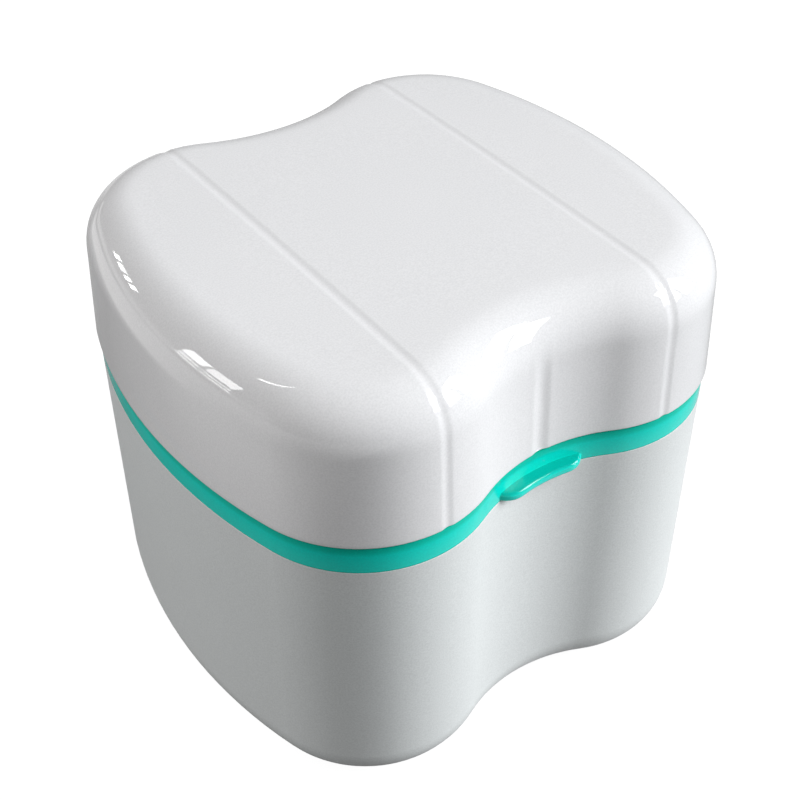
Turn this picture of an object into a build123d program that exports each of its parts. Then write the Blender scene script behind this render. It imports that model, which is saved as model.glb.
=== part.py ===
from build123d import *

import math
import os

# Denture soaking case: a cup, a strainer basket that hangs in it by its rim, and a lid hinged to the basket.
# Millimetres. The case stands on z = 0 with its front towards -Y, and the origin is the centre of its foot.

# Plan outline, taken at the lid's lower edge: bowed sides, four round lobes, a waist at front and back
half_width = 44.0
half_depth = 40.65  # over the lobes
corner_radius = 20.4  # of each lobe
side_radius = 87.0  # of the bowed sides
waist_depth = 4.63  # from the lobes in to the middle of the waist

# Cup
cup_height = 49.55
cup_wall = 1.8
cup_floor = 1.8
cup_edge_radius = 7.4  # outer rounding between wall and base
foot_recess = 0.8  # the base panel is raised this far, so the cup stands on a ring
foot_width = 2.5

# Lid
lid_height = 23.6
lid_wall = 1.6
lid_draft = 2.8  # degrees
lid_crown_radius = 1850.0  # of the faintly domed top
lid_shoulder_radius = 8.0  # outer rounding between wall and top

# Grooves in the lid: a pair that runs right over it, and a short one down the middle of the front
groove_shift = 0.43  # from the crown of each lobe in towards the middle
groove_depth = 0.3
groove_radius = 3.0
front_groove_depth = 0.4
front_groove_radius = 4.2
spare_skirt = 3.0  # of wall below the lid's edge, which the grooves are cut through before it comes off

# Basket
rim_inset = 0.375  # the rim and the cup lie this far inside the lid's edge
rim_height = 5.1
collar_height = 2.2  # stands inside the lid
basket_wall = 1.2
basket_depth = 38.0  # below the rim
basket_draft = 1.2  # degrees
basket_edge_radius = 6.0
wall_slot_width = 2.4
wall_slot_length = 24.0
wall_slot_pitch = 6.4
wall_slot_drop = 5.0  # from the rim down to the slots
drain_radius = 1.7
drain_pitch = 7.6

# Lift tab at the front of the rim
tab_half_width = 8.5
tab_reach = 2.0
tab_thickness = 1.5
tab_corner_radius = 3.6
tab_edge_round = 0.5

# Hinge at the back: pins on the lid's strap turn in the basket's two ears
hinge_drop = 3.9  # from the lid's edge down to the axis
barrel_radius = 2.2
pin_radius = 1.2
pin_play = 0.05
strap_half_width = 4.5
strap_rise = 7.5  # height of the strap's root on the lid's back
ear_thickness = 2.3

# Clearances and small roundings
nest_gap = 0.3  # basket to cup
lid_gap = 0.35  # collar to lid
hinge_gap = 0.5  # barrel to rim
side_gap = 0.25  # strap to ears
swing_gap = 0.5  # lid's lower edge to the rim as it swings
edge_round = 0.3
seam_round = 0.1  # where cup and rim meet

# Worked out from the sizes above
lid_edge_z = cup_height + rim_height
top_z = lid_edge_z + lid_height
cup_inset = rim_inset + cup_wall
basket_inset = cup_inset + nest_gap
collar_inset = lid_wall + lid_gap
basket_floor_z = cup_height - basket_depth
waist_face_y = half_depth - waist_depth - rim_inset
hinge_y = waist_face_y + hinge_gap + barrel_radius
hinge_z = lid_edge_z - hinge_drop

side_x = half_width - side_radius
corner_y = half_depth - corner_radius
corner_x = side_x + math.sqrt((side_radius - corner_radius) ** 2 - corner_y**2)
groove_x = corner_x - groove_shift
waist_reach = corner_radius - waist_depth
waist_radius = (waist_reach**2 + corner_x**2 - corner_radius**2) / (2 * waist_depth)
waist_y = half_depth - waist_depth + waist_radius
side_half_angle = math.degrees(math.atan2(corner_y, corner_x - side_x))
waist_half_angle = math.degrees(math.atan2(corner_x, waist_y - corner_y))


def outline(inset):
    """Plan outline drawn inward by an inset. Every arc keeps its centre, so insets nest exactly."""
    half_side = CenterArc((side_x, 0), side_radius - inset, 0, side_half_angle)
    corner_angle = 90 + waist_half_angle - side_half_angle
    corner = CenterArc((corner_x, corner_y), corner_radius - inset, side_half_angle, corner_angle)
    waist = CenterArc((0, waist_y), waist_radius + inset, -90 - waist_half_angle, 2 * waist_half_angle)
    back_half = [half_side, corner, waist, mirror(corner, about=Plane.YZ), mirror(half_side, about=Plane.YZ)]
    return make_face(back_half + [mirror(arc, about=Plane.XZ) for arc in back_half])


def lid_form(inset, top, shoulder_radius, skirt=0):
    """Closed form of the lid: drafted walls, domed top and a rounded shoulder between them."""
    skirt_spread = skirt * math.tan(math.radians(lid_draft))
    start = lid_edge_z - skirt
    wall = extrude(Pos(0, 0, start) * outline(inset - skirt_spread), top + 1 - start, taper=lid_draft)
    dome = Pos(0, 0, top - lid_crown_radius) * Sphere(lid_crown_radius)
    form = wall & dome
    return fillet(form.faces().sort_by(Axis.Z)[-1].edges(), shoulder_radius)


def groove_cutter(form, x):
    """Round-bottomed cutter that follows the lid's skin at one x, from its back edge to its front edge."""
    skin = section(form, section_by=Plane.YZ.offset(x)).edges()
    path = Wire(skin.sort_by(Axis.Z)[1:])
    start = Plane(origin=path @ 0, x_dir=(1, 0, 0), z_dir=path % 0)
    lift = (groove_radius - groove_depth) * math.copysign(1, start.y_dir.Y * (path @ 0).Y)
    return sweep(start * Pos(0, lift) * Circle(groove_radius), path=path)


def front_groove_cutter():
    """Straight cutter that leans with the front wall and runs out where the shoulder begins."""
    centre_y = half_depth - waist_depth - front_groove_depth + front_groove_radius
    lean = Pos(0, -centre_y, lid_edge_z) * Rot(-lid_draft, 0, 0)
    return lean * Cylinder(front_groove_radius, 2 * lid_height)


def lid_strap():
    """Hinge strap on the lid's back, with the barrel and the two pins at its foot."""
    outer_y = hinge_y + barrel_radius
    inner_y = hinge_y - edge_round
    root_y = half_depth - waist_depth - lid_wall / 2
    shoulder = Vector(0, outer_y, lid_edge_z + edge_round)
    crest = Vector(0, root_y, lid_edge_z + strap_rise)
    sides = Polyline(crest, (0, root_y, lid_edge_z), (0, inner_y, lid_edge_z), (0, inner_y, hinge_z))
    foot = Polyline((0, inner_y, hinge_z), (0, outer_y, hinge_z), shoulder)
    strap_face = make_face([*sides.edges(), *foot.edges(), TangentArc(shoulder, crest, tangent=(0, 0, 1))])
    strap = extrude(strap_face, strap_half_width, dir=(1, 0, 0), both=True)
    axis = Pos(0, hinge_y, hinge_z) * Rot(0, 90, 0)
    pin_half_length = strap_half_width + side_gap + ear_thickness
    strap += axis * Cylinder(barrel_radius, 2 * strap_half_width)
    pins = axis * Cylinder(pin_radius, 2 * pin_half_length)
    return strap + chamfer(pins.edges().filter_by(GeomType.CIRCLE), edge_round)


def lid():
    form = lid_form(0, top_z, lid_shoulder_radius, spare_skirt)
    shell = form - [groove_cutter(form, x) for x in (-groove_x, groove_x)] - front_groove_cutter()
    shell -= Pos(0, 0, lid_edge_z - spare_skirt) * Box(3 * half_width, 3 * half_width, 2 * spare_skirt)
    shell += lid_strap()
    shell -= lid_form(lid_wall, top_z - lid_wall, lid_shoulder_radius - lid_wall)
    return shell


def cup():
    body = extrude(outline(rim_inset), cup_height)
    body = fillet(body.faces().sort_by(Axis.Z)[0].edges(), cup_edge_radius)
    body = fillet(body.faces().sort_by(Axis.Z)[-1].edges(), seam_round)
    inner_floor_z = foot_recess + cup_floor
    inside = Pos(0, 0, inner_floor_z) * extrude(outline(cup_inset), cup_height)
    inside = fillet(inside.faces().sort_by(Axis.Z)[0].edges(), cup_edge_radius - cup_wall)
    panel_inset = rim_inset + cup_edge_radius + foot_width
    panel = extrude(outline(panel_inset), foot_recess)
    return body - inside - panel


def slot_planes(inset, z, pitch):
    """Planes that face out of the wall at even steps round the outline."""
    path = outline(inset).face().outer_wire()
    count = round(path.length / pitch)
    for step in range(count):
        spot = path.position_at((step + 0.5) / count) + Vector(0, 0, z)
        along = path.tangent_at((step + 0.5) / count)
        yield Plane(origin=spot, x_dir=along, z_dir=along.cross(Vector(0, 0, 1)))


def wall_slots():
    middle_z = cup_height - wall_slot_drop - wall_slot_length / 2
    shape = SlotOverall(wall_slot_length, wall_slot_width, rotation=90)
    reach = 2 * basket_wall + nest_gap
    planes = slot_planes(basket_inset + basket_wall / 2, middle_z, wall_slot_pitch)
    return [extrude(plane * shape, reach, both=True) for plane in planes]


def drain_holes():
    """Staggered holes over the flat of the basket's floor."""
    drawn_in = basket_depth * math.tan(math.radians(basket_draft))
    flat = outline(basket_inset + drawn_in + basket_edge_radius + drain_radius)
    row_step = drain_pitch * math.sqrt(3) / 2
    rows = math.ceil(half_depth / row_step)
    columns = math.ceil(half_width / drain_pitch)
    holes = []
    for row in range(-rows, rows + 1):
        for column in range(-columns, columns + 1):
            spot = Vector((column + row % 2 / 2) * drain_pitch, row * row_step)
            if flat.face().is_inside(spot):
                holes.append(Pos(spot.X, spot.Y, basket_floor_z) * Cylinder(drain_radius, 4 * basket_wall))
    return holes


def lift_tab():
    """Thumb tab in the front of the waist. Its root reaches into the mouth, which is opened afterwards."""
    reach = outline(rim_inset - tab_reach) - outline(rim_inset + 2 * tab_corner_radius)
    front = Pos(0, -half_depth) * Rectangle(2 * tab_half_width, half_depth)
    tab = Pos(0, 0, cup_height) * extrude(reach & front, tab_thickness)
    tab = fillet(tab.edges().filter_by(Axis.Z).sort_by(Axis.Y)[:2], tab_corner_radius)
    levels = tab.edges().group_by(Axis.Z)
    return fillet(levels[0].sort_by(Axis.Y)[:-1] + levels[-1].sort_by(Axis.Y)[:-1], tab_edge_round)


def hinge_ears():
    """Two ears on the back of the rim, with the holes that the lid's pins turn in."""
    root_y = waist_face_y - edge_round
    root_height = hinge_z + barrel_radius - cup_height
    ears = Part()
    for side in (-1, 1):
        middle_x = side * (strap_half_width + side_gap + ear_thickness / 2)
        root = Pos(middle_x, (root_y + hinge_y) / 2, cup_height + root_height / 2)
        ears += root * Box(ear_thickness, hinge_y - root_y, root_height)
        ears += Pos(middle_x, hinge_y, hinge_z) * Rot(0, 90, 0) * Cylinder(barrel_radius, ear_thickness)
    return ears - Pos(0, hinge_y, hinge_z) * Rot(0, 90, 0) * Cylinder(pin_radius + pin_play, half_width)


def swing_relief():
    """What the lid's lower edge sweeps behind the hinge axis, to be taken off the back of the rim."""
    start_y = hinge_y - swing_gap
    block = Pos(0, start_y + half_depth / 2, hinge_z + half_depth / 2) * Box(3 * half_width, half_depth, half_depth)
    return block - Pos(0, start_y, hinge_z) * Rot(0, 90, 0) * Cylinder(hinge_drop, 4 * half_width)


def strainer_basket():
    rim = Pos(0, 0, cup_height) * extrude(outline(rim_inset), rim_height)
    rim = fillet(rim.edges().group_by(Axis.Z)[0], seam_round)
    rim = fillet(rim.edges().group_by(Axis.Z)[-1], edge_round)
    rim -= swing_relief()
    collar = Pos(0, 0, cup_height) * extrude(outline(collar_inset), rim_height + collar_height)
    collar = fillet(collar.edges().group_by(Axis.Z)[-1], edge_round)
    body = Pos(0, 0, cup_height) * extrude(outline(basket_inset), -basket_depth, taper=basket_draft)
    body = fillet(body.faces().sort_by(Axis.Z)[0].edges(), basket_edge_radius)
    above = rim_height + collar_height
    above_spread = above * math.tan(math.radians(basket_draft))
    mouth = Pos(0, 0, lid_edge_z + collar_height) * outline(basket_inset + basket_wall - above_spread)
    inside = extrude(mouth, -(above + basket_depth - basket_wall), taper=basket_draft)
    inside = fillet(inside.faces().sort_by(Axis.Z)[0].edges(), basket_edge_radius - basket_wall)
    basket = rim + collar + body + lift_tab() + hinge_ears() - inside
    return basket - wall_slots() - drain_holes()


os.makedirs("parts", exist_ok=True)
for name, make in (("cup", cup), ("strainer_basket", strainer_basket), ("lid", lid)):
    export_step(make(), f"parts/{name}.step")
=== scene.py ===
import math

import bpy
import numpy as np
from mathutils import Matrix, Vector


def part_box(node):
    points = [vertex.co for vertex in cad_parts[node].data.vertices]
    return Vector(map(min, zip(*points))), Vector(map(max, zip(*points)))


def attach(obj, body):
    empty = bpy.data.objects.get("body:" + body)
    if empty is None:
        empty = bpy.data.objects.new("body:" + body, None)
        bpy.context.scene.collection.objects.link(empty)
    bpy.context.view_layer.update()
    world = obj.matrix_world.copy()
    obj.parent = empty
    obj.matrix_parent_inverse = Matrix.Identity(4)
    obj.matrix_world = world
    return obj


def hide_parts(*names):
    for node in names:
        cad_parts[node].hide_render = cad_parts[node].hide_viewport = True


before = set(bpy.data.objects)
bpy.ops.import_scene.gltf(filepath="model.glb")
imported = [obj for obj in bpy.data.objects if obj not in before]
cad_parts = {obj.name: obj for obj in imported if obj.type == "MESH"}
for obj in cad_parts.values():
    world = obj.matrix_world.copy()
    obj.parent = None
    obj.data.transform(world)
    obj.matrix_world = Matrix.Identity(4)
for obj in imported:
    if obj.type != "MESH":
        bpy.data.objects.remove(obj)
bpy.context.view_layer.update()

MM = 0.001

# Heights and half width come from the frame, in metres
CUP_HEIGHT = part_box("cup")[1][2]
TOP_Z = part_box("lid")[1][2]
HALF_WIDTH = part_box("lid")[1][0]

# Plan outline: bowed sides, round corners and a waist at front and back
HALF_DEPTH = 40.65 * MM
CORNER_RADIUS = 20.4 * MM
SIDE_RADIUS = 87 * MM
WAIST_DEPTH = 4.63 * MM

# Lid
RIM_HEIGHT = 5.1 * MM
RIM_MARGIN = 0.1 * MM
LID_WALL = 1.6 * MM
LID_DRAFT = math.radians(2.8)
CROWN_RADIUS = 1850 * MM
SHOULDER_RADIUS = 8.0 * MM
LIP_ROUND = 0.2 * MM

# Grooves: two run over the lid from front to back, a short one is at the middle of the front
GROOVE_SHIFT = 0.43 * MM
GROOVE_DEPTH = 0.15 * MM
GROOVE_HALF_WIDTH = 1.1 * MM
FRONT_GROOVE_DEPTH = 0.24 * MM
FRONT_GROOVE_HALF_WIDTH = 1.7 * MM
FRONT_GROOVE_DROP = 0.5 * SHOULDER_RADIUS

# Hinge at the back
HINGE_DROP = 3.9 * MM
HINGE_GAP = 0.5 * MM
RIM_INSET = 0.375 * MM
BARREL_RADIUS = 2.2 * MM
PIN_RADIUS = 1.2 * MM
PIN_HALF_LENGTH = 7.05 * MM
STRAP_HALF_WIDTH = 4.5 * MM
STRAP_RISE = 7.5 * MM
STRAP_ROUND = 0.3 * MM
BARREL_JOIN = 98        # degrees from +Y towards +Z, where the barrel meets the strap's inner side
SHARP_ANGLE = math.radians(50)

# Steps of the meshes
SIDE_PITCH = math.radians(1.2)
CORNER_PITCH = math.radians(3)
WAIST_PITCH = math.radians(2.5)
GROOVE_REACH = math.radians(8)
GROOVE_PITCH = math.radians(0.6)
FRONT_REACH = math.radians(6)
FRONT_PITCH = math.radians(0.5)
OUTER_WALL_SHARES = (0, 0.03, 0.12, 0.25, 0.4, 0.55, 0.7, 0.85, 0.95, 1)
INNER_WALL_SHARES = (0, 0.05, 0.3, 0.6, 0.9, 1)
OUTER_SHOULDER_STEPS = 14
INNER_SHOULDER_STEPS = 7
OUTER_LIP_TURNS = (30, 60, 90)
INNER_LIP_TURNS = (90, 45)
END_TURNS = (0, 30, 60, 90)
SLOPE_ROUNDS = 5
CAP_STEPS = 24
BARREL_POINTS = 40
CURVE_POINTS = 14
PIN_POINTS = 32

# Worked out from the sizes above
LID_EDGE_Z = CUP_HEIGHT + RIM_HEIGHT
SIDE_X = HALF_WIDTH - SIDE_RADIUS
CORNER_Y = HALF_DEPTH - CORNER_RADIUS
CORNER_X = SIDE_X + math.sqrt((SIDE_RADIUS - CORNER_RADIUS) ** 2 - CORNER_Y**2)
WAIST_REACH = CORNER_RADIUS - WAIST_DEPTH
WAIST_RADIUS = (WAIST_REACH**2 + CORNER_X**2 - CORNER_RADIUS**2) / (2 * WAIST_DEPTH)
WAIST_Y = HALF_DEPTH - WAIST_DEPTH + WAIST_RADIUS
SIDE_HALF_ANGLE = math.atan2(CORNER_Y, CORNER_X - SIDE_X)
WAIST_HALF_ANGLE = math.atan2(CORNER_X, WAIST_Y - CORNER_Y)
GROOVE_X = CORNER_X - GROOVE_SHIFT


# ---- Outline and shells ---------------------------------------------------------------------------


def steps(start, end, pitch, dense=None):
    """Values from start to end at about one pitch. Dense is a closer stretch: middle, reach and pitch."""
    cuts = [(start, end, pitch)]
    if dense:
        low = min(end, max(start, dense[0] - dense[1]))
        high = min(end, max(start, dense[0] + dense[1]))
        cuts = [(start, low, pitch), (low, high, dense[2]), (high, end, pitch)]
    values = [start]
    for a, b, step in cuts:
        count = round((b - a) / step) if b > a else 0
        values += [a + (b - a) * (k + 1) / count for k in range(count)]
    return np.array(values)


class Outline:
    """The plan outline as points and outward normals, anticlockwise from the middle of the +X side."""

    def __init__(self):
        groove = math.pi / 2 + math.asin(GROOVE_SHIFT / CORNER_RADIUS)
        corner_end = math.pi / 2 + WAIST_HALF_ANGLE
        side = steps(0, SIDE_HALF_ANGLE, SIDE_PITCH)
        corner = steps(SIDE_HALF_ANGLE, corner_end, CORNER_PITCH, (groove, GROOVE_REACH, GROOVE_PITCH))
        waist = steps(-WAIST_HALF_ANGLE, 0, WAIST_PITCH, (0.0, FRONT_REACH, FRONT_PITCH))
        points, facing = [], []
        arcs = [((SIDE_X, 0), SIDE_RADIUS, side), ((CORNER_X, CORNER_Y), CORNER_RADIUS, corner[1:])]
        for centre, radius, angles in arcs:
            way = np.column_stack([np.cos(angles), np.sin(angles)])
            points.append(centre + radius * way)
            facing.append(way)
        way = np.column_stack([np.sin(waist[1:]), np.cos(waist[1:])])
        points.append([0, WAIST_Y] - WAIST_RADIUS * way)
        facing.append(way)
        self.points = self.whole(np.concatenate(points))
        self.facing = self.whole(np.concatenate(facing))
        self.count = len(self.points)

    @staticmethod
    def whole(quarter):
        """The other three quarters of the outline, mirrored from the first."""
        half = np.concatenate([quarter, quarter[-2::-1] * [-1, 1]])
        return np.concatenate([half, half[-2:0:-1] * [1, -1]])

    def row(self, inset, z):
        """A closed row of points. Inset and z are numbers, or have one value for each point."""
        plan = self.points - np.broadcast_to(inset, self.count)[:, None] * self.facing
        return np.column_stack([plan, np.broadcast_to(z, self.count)])


def cap(row, first, start, across, height):
    """Points and faces that close a row. Columns join each front point to the back one with the same x."""
    count, half = len(row), len(row) // 2
    share = np.arange(1, across) / across
    points = []
    for column in range(1, half):
        a, b = row[column], row[count - column]
        x, y = a[0] + (b[0] - a[0]) * share, a[1] + (b[1] - a[1]) * share
        points.append(np.column_stack([x, y, height(x, y)]))

    def index(column, step):
        if column in (0, half) or step == 0:
            return first + column
        if step == across:
            return first + count - column
        return start + (column - 1) * (across - 1) + step - 1

    faces = []
    for column in range(half):
        for step in range(across):
            spots = [index(column, step), index(column + 1, step)]
            spots += [index(column + 1, step + 1), index(column, step + 1)]
            faces.append([spot for k, spot in enumerate(spots) if spot != spots[k - 1]])
    return np.concatenate(points), faces


def bands(rows):
    """Faces that join each closed row of points to the next."""
    count = len(rows[0])
    faces = []
    for start in range(0, (len(rows) - 1) * count, count):
        for k in range(count):
            after = (k + 1) % count
            faces.append([start + k, start + count + k, start + count + after, start + after])
    return faces


def shell(rows, first_height, last_height, across):
    """Points and faces of a closed skin: rows joined one to the next, with a cap on each end."""
    count = len(rows[0])
    faces = bands(rows)
    points = list(rows)
    used = count * len(rows)
    for row, height, flip in ((0, first_height, False), (len(rows) - 1, last_height, True)):
        inner, closing = cap(rows[row], row * count, used, across, height)
        faces += [face[::-1] for face in closing] if flip else closing
        points.append(inner)
        used += len(inner)
    return np.concatenate(points), faces


def make_piece(name, points, faces, material, *nodes):
    """Mesh object with smooth shading that rides on the lid and stands for CAD nodes."""
    mesh = bpy.data.meshes.new(name)
    mesh.from_pydata(points.tolist(), [], faces)
    mesh.polygons.foreach_set("use_smooth", [True] * len(mesh.polygons))
    mesh.materials.append(material)
    mesh.update()
    piece = bpy.data.objects.new(name, mesh)
    bpy.context.collection.objects.link(piece)
    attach(piece, "lid")
    if nodes:
        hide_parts(*nodes)
    return piece


def point_normals(points, faces):
    """Unit normal at each point, from the faces round it."""
    normals = np.zeros_like(points)
    for size in (3, 4):
        group = np.array([face for face in faces if len(face) == size])
        if len(group):
            one_way = points[group[:, 2]] - points[group[:, 0]]
            other_way = points[group[:, -1]] - points[group[:, 1]]
            across = np.cross(one_way, other_way)
            for corner in range(size):
                np.add.at(normals, group[:, corner], across)
    return normals / np.linalg.norm(normals, axis=1)[:, None]


# ---- Lid ------------------------------------------------------------------------------------------


def crown(top):
    """Height of the faintly domed top over a point of the plan."""
    return lambda x, y: top - CROWN_RADIUS + np.sqrt(CROWN_RADIUS**2 - x**2 - y**2)


def lid_skin(outline, wall, wall_shares, shoulder_steps):
    """Rows of one skin of the lid, from its lower edge up to where the shoulder meets the top."""
    radius = SHOULDER_RADIUS - wall
    height = crown(TOP_Z - wall)
    lean = math.tan(LID_DRAFT)
    centre_inset, slope = np.full(outline.count, wall + radius), np.zeros(outline.count)
    for _ in range(SLOPE_ROUNDS):
        end = outline.row(centre_inset - radius * np.sin(slope), 0)[:, :2]
        slope = np.arcsin(np.sum(end * outline.facing, axis=1) / CROWN_RADIUS)
        centre_z = height(end[:, 0], end[:, 1]) - radius * np.cos(slope)
        wall_end_z = centre_z + radius * math.sin(LID_DRAFT)
        centre_inset = wall + (wall_end_z - LID_EDGE_Z) * lean + radius * math.cos(LID_DRAFT)
    rows = []
    for share in wall_shares:
        z = LID_EDGE_Z + LIP_ROUND + (wall_end_z - LID_EDGE_Z - LIP_ROUND) * share
        rows.append(outline.row(wall + (z - LID_EDGE_Z) * lean, z))
    for k in range(1, shoulder_steps + 1):
        angle = LID_DRAFT + (math.pi / 2 - slope - LID_DRAFT) * k / shoulder_steps
        rows.append(outline.row(centre_inset - radius * np.cos(angle), centre_z + radius * np.sin(angle)))
    return rows


def soft(distance):
    """Cross-section of a soft groove: 1 in its middle, 0 from a distance of 1 outwards."""
    inside = np.clip(1 - distance**2, 0, 1)
    return inside**2


def groove_depths(points):
    """How deep the grooves are at each point of the lid's outer skin."""
    x, y, z = points.T
    depth = GROOVE_DEPTH * soft((np.abs(x) - GROOVE_X) / GROOVE_HALF_WIDTH)
    fade = np.clip((TOP_Z - FRONT_GROOVE_DROP - z) / SHOULDER_RADIUS, 0, 1)
    front = FRONT_GROOVE_DEPTH * soft(x / FRONT_GROOVE_HALF_WIDTH) * fade**2 * (3 - 2 * fade)
    return depth + np.where(y < 0, front, 0)


def lip_rows(outline, turns, inside):
    """Rows on the rounding of the lid's lower edge, at turns in degrees from the wall."""
    rows = []
    for turn in turns:
        angle = math.radians(turn)
        inset = LIP_ROUND * (1 - math.cos(angle))
        z = LID_EDGE_Z + LIP_ROUND * (1 - math.sin(angle))
        rows.append(outline.row(LID_WALL - inset if inside else inset, z))
    return rows


def make_lid(material):
    """The lid as one closed skin, with the grooves pressed into its outer side."""
    outline = Outline()
    outer = lid_skin(outline, 0.0, OUTER_WALL_SHARES, OUTER_SHOULDER_STEPS)
    inner = lid_skin(outline, LID_WALL, INNER_WALL_SHARES, INNER_SHOULDER_STEPS)
    outer_lip = lip_rows(outline, OUTER_LIP_TURNS, inside=False)
    inner_lip = lip_rows(outline, INNER_LIP_TURNS, inside=True)
    rows = outer[::-1] + outer_lip + inner_lip + inner
    points, faces = shell(rows, crown(TOP_Z), crown(TOP_Z - LID_WALL), CAP_STEPS)
    outside = np.zeros(len(points), bool)
    outside[:outline.count * (len(outer) + len(outer_lip))] = True
    first_cap = outline.count * len(rows)
    outside[first_cap:first_cap + (outline.count // 2 - 1) * (CAP_STEPS - 1)] = True
    normals = point_normals(points, faces)
    points = points - normals * np.where(outside, groove_depths(points), 0)[:, None]
    return make_piece("lid_shell", points, faces, material, "lid")


# ---- Hinge strap ----------------------------------------------------------------------------------


def arc(centre, radius, start, end, count):
    """Points (y, z) of an arc, with its angles in degrees from +Y towards +Z."""
    angles = np.radians(np.linspace(start, end, count))
    return np.column_stack([centre[0] + radius * np.cos(angles), centre[1] + radius * np.sin(angles)])


def drawn_in(profile, distance):
    """A closed anticlockwise profile moved inward along the normal of each of its points."""
    along = np.roll(profile, -1, axis=0) - np.roll(profile, 1, axis=0)
    outward = np.column_stack([along[:, 1], -along[:, 0]])
    return profile - distance * outward / np.linalg.norm(outward, axis=1)[:, None]


def prism(profile, half_width, rounding):
    """Points and faces of a (y, z) profile carried along X, with rounded ends."""
    ends = []
    for turn in np.radians(END_TURNS):
        ends.append((rounding * (1 - math.sin(turn)), half_width - rounding * (1 - math.cos(turn))))
    rows = [(inset, -x) for inset, x in ends] + [(inset, x) for inset, x in reversed(ends)]
    count = len(profile)
    points = [np.column_stack([np.full(count, x), drawn_in(profile, inset)]) for inset, x in rows]
    faces = [list(range(count))[::-1], [(len(rows) - 1) * count + k for k in range(count)]]
    faces += [[a, d, c, b] for a, b, c, d in bands(points)]
    return np.concatenate(points), faces


def make_hinge(material):
    """The strap on the back of the lid with its barrel, and the pins that turn in the basket's ears."""
    axis = (HALF_DEPTH - WAIST_DEPTH - RIM_INSET + HINGE_GAP + BARREL_RADIUS, LID_EDGE_Z - HINGE_DROP)
    outer_y = axis[0] + BARREL_RADIUS
    inner_y = axis[0] - STRAP_ROUND
    root_y = HALF_DEPTH - WAIST_DEPTH - LID_WALL / 2
    rise = STRAP_RISE - STRAP_ROUND
    reach = outer_y - root_y
    curve_radius = (reach**2 + rise**2) / (2 * reach)
    curve_end = math.degrees(math.asin(rise / curve_radius))
    shoulder_z = LID_EDGE_Z + STRAP_ROUND
    barrel = arc(axis, BARREL_RADIUS, BARREL_JOIN - 360, 0, BARREL_POINTS)
    curve = arc((outer_y - curve_radius, shoulder_z), curve_radius, 0, curve_end, CURVE_POINTS)
    inside = np.array([(root_y, LID_EDGE_Z), (inner_y, LID_EDGE_Z)])
    profile = np.concatenate([barrel, curve, inside])
    strap = make_piece("hinge_strap", *prism(profile, STRAP_HALF_WIDTH, STRAP_ROUND), material)
    strap.data.set_sharp_from_angle(angle=SHARP_ANGLE)
    circle = arc(axis, PIN_RADIUS, 0, 360 - 360 / PIN_POINTS, PIN_POINTS)
    pins = make_piece("hinge_pins", *prism(circle, PIN_HALF_LENGTH, STRAP_ROUND), material)
    pins.data.set_sharp_from_angle(angle=SHARP_ANGLE)


# ---- Materials ------------------------------------------------------------------------------------

GRAIN_SIZE = 0.25 * MM


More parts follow.
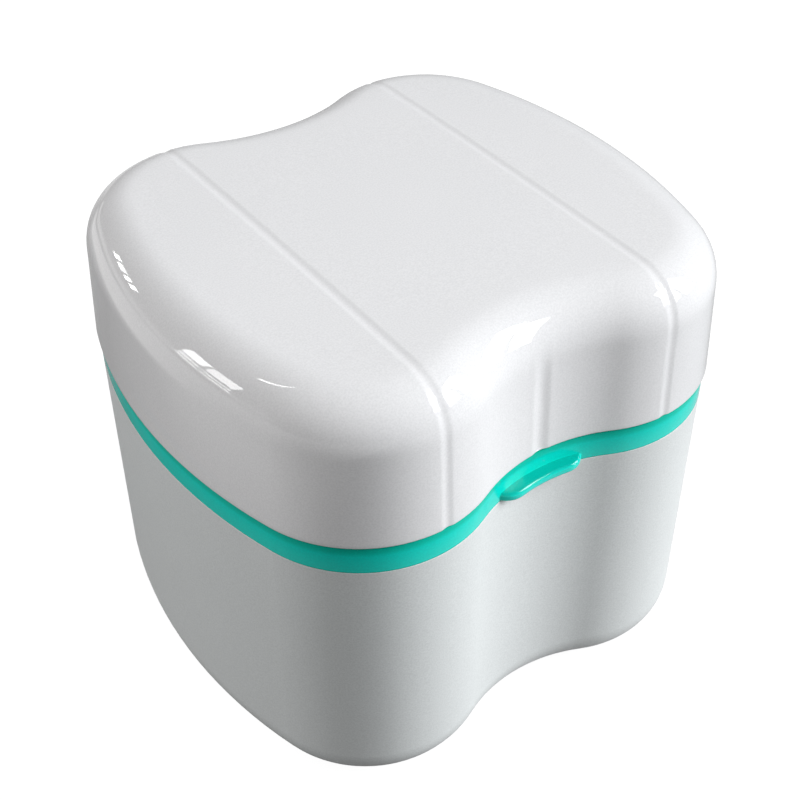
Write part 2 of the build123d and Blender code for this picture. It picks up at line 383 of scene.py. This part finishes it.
class Look:
    """A node-based plastic: a shader with a base colour that drifts between two close tones."""

    def __init__(self, name, tones, drift_size):
        self.material = bpy.data.materials.new(name)
        self.material.use_nodes = True
        self.nodes = self.material.node_tree.nodes
        self.links = self.material.node_tree.links
        self.shader = self.nodes["Principled BSDF"]
        self.place = self.nodes.new("ShaderNodeTexCoord").outputs["Object"]
        self.tone = self.mix(self.noise(drift_size, detail=3), *tones)
        self.links.new(self.tone, self.shader.inputs["Base Color"])

    def noise(self, size, detail=2):
        """Noise from 0 to 1 with blotches of about one size, in metres."""
        node = self.nodes.new("ShaderNodeTexNoise")
        node.inputs["Scale"].default_value = 1 / size
        node.inputs["Detail"].default_value = detail
        self.links.new(self.place, node.inputs["Vector"])
        return node.outputs["Fac"]

    def mix(self, share, first, second):
        """Colour between two, each a colour or the output of a node."""
        node = self.nodes.new("ShaderNodeMix")
        node.data_type = "RGBA"
        self.links.new(share, node.inputs["Factor"])
        for value, place in ((first, node.inputs["A"]), (second, node.inputs["B"])):
            if isinstance(value, tuple):
                place.default_value = (*value, 1)
            else:
                self.links.new(value, place)
        return node.outputs["Result"]

    def spread(self, value, low, high, start=0.3, end=0.7):
        """A value mapped from start..end to low..high."""
        node = self.nodes.new("ShaderNodeMapRange")
        for name, number in (("From Min", start), ("From Max", end), ("To Min", low), ("To Max", high)):
            node.inputs[name].default_value = number
        self.links.new(value, node.inputs["Value"])
        return node.outputs["Result"]

    def up_the_rim(self, stops):
        """A colour that changes up the rim. A stop is a height above the cup in mm and three values."""
        height = self.nodes.new("ShaderNodeSeparateXYZ")
        ramp = self.nodes.new("ShaderNodeValToRGB")
        self.links.new(self.place, height.inputs[0])
        low, high = CUP_HEIGHT - RIM_MARGIN, LID_EDGE_Z + RIM_MARGIN
        share = self.spread(height.outputs["Z"], 0, 1, start=low, end=high)
        self.links.new(share, ramp.inputs["Fac"])
        spots = ramp.color_ramp.elements
        spots[0].color = spots[1].color = (*stops[-1][1], 1)
        for mm, values in stops[:-1]:
            spots.new((CUP_HEIGHT + mm * MM - low) / (high - low)).color = (*values, 1)
        return ramp.outputs["Color"]

    def facing_up(self):
        """1 where the surface looks straight up, 0 on upright walls."""
        normal = self.nodes.new("ShaderNodeNewGeometry").outputs["Normal"]
        parts = self.nodes.new("ShaderNodeSeparateXYZ")
        self.links.new(normal, parts.inputs[0])
        return parts.outputs["Z"]

    def tint(self, share):
        """Multiplies the base colour by a value or a colour."""
        node = self.nodes.new("ShaderNodeVectorMath")
        node.operation = "MULTIPLY"
        self.links.new(self.tone, node.inputs[0])
        self.links.new(share, node.inputs[1])
        self.tone = node.outputs[0]
        self.links.new(self.tone, self.shader.inputs["Base Color"])

    def roughness(self, size, low, high):
        """Roughness that drifts between two values, in blotches of about one size."""
        self.links.new(self.spread(self.noise(size), low, high), self.shader.inputs["Roughness"])

    def grain(self, size, strength):
        """Fine speckle in the base colour."""
        self.tint(self.spread(self.noise(size, detail=1), 1 - strength, 1 + strength))

    def bump(self, *layers):
        """Bumps from noise, each layer as a size and a height in metres."""
        normal = None
        for size, height in layers:
            node = self.nodes.new("ShaderNodeBump")
            node.inputs["Strength"].default_value = 1
            node.inputs["Distance"].default_value = height
            self.links.new(self.noise(size), node.inputs["Height"])
            if normal:
                self.links.new(normal, node.inputs["Normal"])
            normal = node.outputs["Normal"]
        self.links.new(normal, self.shader.inputs["Normal"])


def cup_plastic():
    """Satin white with a faint green cast."""
    look = Look("cup_satin", [(0.702, 0.722, 0.718), (0.730, 0.750, 0.746)], 14 * MM)
    look.grain(GRAIN_SIZE, strength=0.06)
    look.roughness(3 * MM, low=0.33, high=0.40)
    look.shader.inputs["Specular IOR Level"].default_value = 0.3
    look.bump((0.6 * MM, 0.004 * MM))
    return look.material


def lid_plastic():
    """Glossy white, a little uneven as moulded plastic is."""
    look = Look("lid_gloss", [(0.782, 0.776, 0.782), (0.810, 0.802, 0.808)], 18 * MM)
    look.grain(GRAIN_SIZE, strength=0.045)
    look.roughness(5 * MM, low=0.02, high=0.04)
    look.shader.inputs["Specular IOR Level"].default_value = 0.4
    look.bump((9 * MM, 0.010 * MM), (0.8 * MM, 0.001 * MM))
    return look.material


def basket_plastic():
    """Teal plastic, with painted shade up the rim where the lid's edge shades it: darker, less glossy."""
    look = Look("basket_gloss", [(0.001, 0.70, 0.585), (0.004, 0.74, 0.625)], 9 * MM)
    # Painted shade: the teal darkens and turns greener in a thin line at the rim's foot by the cup, and
    # towards the lid's edge.
    depth = ((0, 0.5), (0.3, 1), (3.2, 1), (3.9, 0.8), (4.6, 0.74), (4.9, 0.6), (5.1, 0.55), (5.2, 1))
    look.tint(look.up_the_rim([(mm, (share**3, share, share**1.4)) for mm, share in depth]))
    # Painted shade of reflections: the specular level fades up the rim towards the lid's edge.
    gloss = ((0, 0.42), (0.5, 0.42), (2.0, 0.22), (3.4, 0.08), (5.1, 0.03), (5.2, 0.3))
    shaded_gloss_levels = look.up_the_rim([(mm, (level, level, level)) for mm, level in gloss])
    look.links.new(shaded_gloss_levels, look.shader.inputs["Specular IOR Level"])
    # Painted shade: faces that look up, such as the tab's top, are darkened to as little as 0.68 of their
    # colour.
    look.tint(look.spread(look.facing_up(), low=1, high=0.68, start=0.3, end=0.9))
    look.grain(GRAIN_SIZE, strength=0.05)
    look.roughness(4 * MM, low=0.05, high=0.08)
    look.shader.inputs["Subsurface Weight"].default_value = 0.15
    look.shader.inputs["Subsurface Radius"].default_value = (0.1, 1.0, 0.8)
    look.shader.inputs["Subsurface Scale"].default_value = 0.8 * MM
    return look.material


# ---- Camera, stage and lamps ----------------------------------------------------------------------

# Camera: azimuth and elevation in degrees, lengths in metres, the sensor's width in mm
CAMERA_AZIMUTH = -35.191
CAMERA_ELEVATION = 40.349
CAMERA_ROLL = math.radians(-0.11)
CAMERA_DISTANCE = 0.231797
CAMERA_TARGET = Vector((0.000162, -0.000749, 0.040))
CAMERA_NEAR = 0.01
SENSOR_WIDTH = 36
FOCAL_PIXELS = 1386.4
IMAGE_PIXELS = 800

# Lamps
LAMP_DISTANCE = 3
LAMP_TARGET = Vector((0, 0, 0.045))
DAYLIGHT = (0.975, 1.0, 1.02)
STRIP_TURN = 17

# What reflections see: a share of white, and on the floor a share for each place from left to right
REFLECTED = 0.2
FLOOR_REFLECTED = ((-0.115, 1.0), (-0.09, 0.2), (-0.07, 0.08), (-0.05, 0.08), (-0.03, 0.2),
                   (0.03, 0.65), (0.08, 0.6), (0.1, 0.25))

# Floor: it glows white past the fade distance, and a little less at the object
FLOOR_HALF = 1.2
FLOOR_TONE = 0.12
FLOOR_GLOW = 0.94
FLOOR_FADE = 0.3


def toward(azimuth, elevation):
    """Unit vector for an azimuth from the front (-Y) towards +X and an elevation, both in degrees."""
    azimuth, elevation = math.radians(azimuth), math.radians(elevation)
    level = math.cos(elevation)
    return Vector((math.sin(azimuth) * level, -math.cos(azimuth) * level, math.sin(elevation)))


def make_camera():
    """Camera that looks at the target from an azimuth and an elevation, with a slight roll."""
    data = bpy.data.cameras.new("camera")
    data.sensor_width = SENSOR_WIDTH
    data.lens = data.sensor_width * FOCAL_PIXELS / IMAGE_PIXELS
    data.clip_start = CAMERA_NEAR
    camera = bpy.data.objects.new("camera", data)
    bpy.context.collection.objects.link(camera)
    back = toward(CAMERA_AZIMUTH, CAMERA_ELEVATION)
    camera.location = CAMERA_TARGET + CAMERA_DISTANCE * back
    turn = back.to_track_quat("Z", "Y").to_matrix() @ Matrix.Rotation(CAMERA_ROLL, 3, "Z")
    camera.rotation_euler = turn.to_euler()
    bpy.context.scene.camera = camera


def lamp(name, azimuths, elevations, light, colour=(1, 1, 1), mirrored=True, turn=0):
    """Rectangular lamp that spans the angles given in degrees, as seen from the object.

    Light is in W/m2 where the object stands. Turn is in degrees round the line to the object.
    """
    middle = toward(sum(azimuths) / 2, sum(elevations) / 2)
    level = math.cos(math.radians(sum(elevations) / 2))
    data = bpy.data.lights.new(name, "AREA")
    data.shape = "RECTANGLE"
    data.size = 2 * LAMP_DISTANCE * math.tan(math.radians((azimuths[1] - azimuths[0]) / 2)) * level
    data.size_y = 2 * LAMP_DISTANCE * math.tan(math.radians((elevations[1] - elevations[0]) / 2))
    data.energy = light * math.pi * LAMP_DISTANCE**2
    data.color = colour
    holder = bpy.data.objects.new(name, data)
    bpy.context.collection.objects.link(holder)
    holder.visible_glossy = mirrored
    holder.location = LAMP_TARGET + LAMP_DISTANCE * middle
    facing = middle.to_track_quat("Z", "Y").to_matrix() @ Matrix.Rotation(math.radians(turn), 3, "Z")
    holder.rotation_euler = facing.to_euler()


def make_lamps():
    """A large window on the right, barred ones on the left and at the back, and soft fills."""
    lamp("right_pane_near", (37, 50.5), (14, 42), 2.15, DAYLIGHT)
    lamp("right_pane_far", (53, 67), (10, 45), 2.3, DAYLIGHT)
    for column, azimuths in enumerate(((-128, -122), (-121, -113))):
        lamp(f"left_pane_low_{column}", azimuths, (3.8, 5.2), 0.04)
        lamp(f"left_pane_middle_{column}", azimuths, (7.6, 9.2), 0.05)
        lamp(f"left_pane_high_{column}", azimuths, (12, 22), 0.26)
    back_columns = ((-158, -156.3), (-155.3, -152.6), (-151.6, -150), (-149, -147.2))
    for column, azimuths in enumerate(back_columns):
        lamp(f"back_pane_{column}", azimuths, (12, 17.5), 0.045)
    lamp("ceiling_strip", (-130.2, -128.8), (45, 62), 0.1, turn=STRIP_TURN)
    lamp("left_wall", (-178, -100), (0.5, 6), 0.12)
    lamp("left_fill", (-140, -105), (28, 60), 1.0, mirrored=False)
    lamp("front_fill", (-40, -10), (2, 28), 0.27, mirrored=False)
    lamp("ceiling_fill", (-60, -10), (30, 60), 0.36, mirrored=False)
    lamp("back_fill", (120, 170), (3, 18), 0.6, mirrored=False)


def seen_ray(nodes, links, share=None):
    """1 for rays that look straight at the background, a share for reflections, and 0 for all others.

    The share is the output of a node, or else REFLECTED.
    """
    path = nodes.new("ShaderNodeLightPath")
    through = nodes.new("ShaderNodeMath")
    reflected = nodes.new("ShaderNodeMath")
    total = nodes.new("ShaderNodeMath")
    through.operation = total.operation = "MAXIMUM"
    reflected.operation = "MULTIPLY"
    if share:
        links.new(share, reflected.inputs[1])
    else:
        reflected.inputs[1].default_value = REFLECTED
    links.new(path.outputs["Is Camera Ray"], through.inputs[0])
    links.new(path.outputs["Is Transmission Ray"], through.inputs[1])
    links.new(path.outputs["Is Glossy Ray"], reflected.inputs[0])
    links.new(through.outputs[0], total.inputs[0])
    links.new(reflected.outputs[0], total.inputs[1])
    return total.outputs[0]


def white_world():
    """Plain white for whatever looks past the object. It adds no light of its own to it."""
    world = bpy.data.worlds.new("studio")
    bpy.context.scene.world = world
    world.use_nodes = True
    world.cycles.sampling_method = "NONE"
    nodes, links = world.node_tree.nodes, world.node_tree.links
    background = nodes["Background"]
    background.inputs["Color"].default_value = (1, 1, 1, 1)
    links.new(seen_ray(nodes, links), background.inputs["Strength"])


def mirrored_floor(nodes, links, place):
    """The share of white that reflections see of the floor, from left to right."""
    across = nodes.new("ShaderNodeSeparateXYZ")
    stretch = nodes.new("ShaderNodeMapRange")
    ramp = nodes.new("ShaderNodeValToRGB")
    low, high = FLOOR_REFLECTED[0][0], FLOOR_REFLECTED[-1][0]
    stretch.inputs["From Min"].default_value = low
    stretch.inputs["From Max"].default_value = high
    spots = ramp.color_ramp.elements
    spots[0].color = (*[FLOOR_REFLECTED[0][1]] * 3, 1)
    spots[1].color = (*[FLOOR_REFLECTED[-1][1]] * 3, 1)
    for x, share in FLOOR_REFLECTED[1:-1]:
        spots.new((x - low) / (high - low)).color = (share, share, share, 1)
    links.new(place, across.inputs[0])
    links.new(across.outputs["X"], stretch.inputs["Value"])
    links.new(stretch.outputs[0], ramp.inputs["Fac"])
    return ramp.outputs[0]


def floor_material():
    """Paint that takes the object's shadow, under a white glow that shows but lights nothing."""
    material = bpy.data.materials.new("floor")
    material.use_nodes = True
    material.cycles.emission_sampling = "NONE"
    nodes, links = material.node_tree.nodes, material.node_tree.links
    nodes.clear()
    out = nodes.new("ShaderNodeOutputMaterial")
    both = nodes.new("ShaderNodeAddShader")
    paint = nodes.new("ShaderNodeBsdfDiffuse")
    glow = nodes.new("ShaderNodeEmission")
    place = nodes.new("ShaderNodeTexCoord").outputs["Object"]
    distance = nodes.new("ShaderNodeVectorMath")
    fade = nodes.new("ShaderNodeMapRange")
    strength = nodes.new("ShaderNodeMath")
    paint.inputs["Color"].default_value = (FLOOR_TONE, FLOOR_TONE, FLOOR_TONE, 1)
    distance.operation = "LENGTH"
    fade.inputs["To Min"].default_value = FLOOR_GLOW
    fade.inputs["From Max"].default_value = FLOOR_FADE
    strength.operation = "MULTIPLY"
    links.new(place, distance.inputs[0])
    links.new(distance.outputs["Value"], fade.inputs["Value"])
    links.new(fade.outputs[0], strength.inputs[0])
    links.new(seen_ray(nodes, links, mirrored_floor(nodes, links, place)), strength.inputs[1])
    links.new(strength.outputs[0], glow.inputs["Strength"])
    links.new(paint.outputs[0], both.inputs[0])
    links.new(glow.outputs[0], both.inputs[1])
    links.new(both.outputs[0], out.inputs["Surface"])
    return material


def make_floor():
    """Wide square floor under the object. It is stage, not a piece of the part."""
    mesh = bpy.data.meshes.new("floor")
    corners = [(-FLOOR_HALF, -FLOOR_HALF, 0), (FLOOR_HALF, -FLOOR_HALF, 0)]
    corners += [(FLOOR_HALF, FLOOR_HALF, 0), (-FLOOR_HALF, FLOOR_HALF, 0)]
    mesh.from_pydata(corners, [], [(0, 1, 2, 3)])
    floor = bpy.data.objects.new("floor", mesh)
    bpy.context.collection.objects.link(floor)
    mesh.materials.append(floor_material())


make_camera()
white_world()
make_floor()
make_lamps()
kept_nodes = (
    ("cup", "cup_plastic", cup_plastic()),
    ("strainer_basket", "basket_plastic", basket_plastic()),
)
for name, slot_name, plastic in kept_nodes:
    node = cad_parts[name]
    for slot in node.material_slots:
        slot.material = plastic
plastic = lid_plastic()
make_lid(plastic)
make_hinge(plastic)

bpy.context.scene.view_settings.view_transform = "Standard"
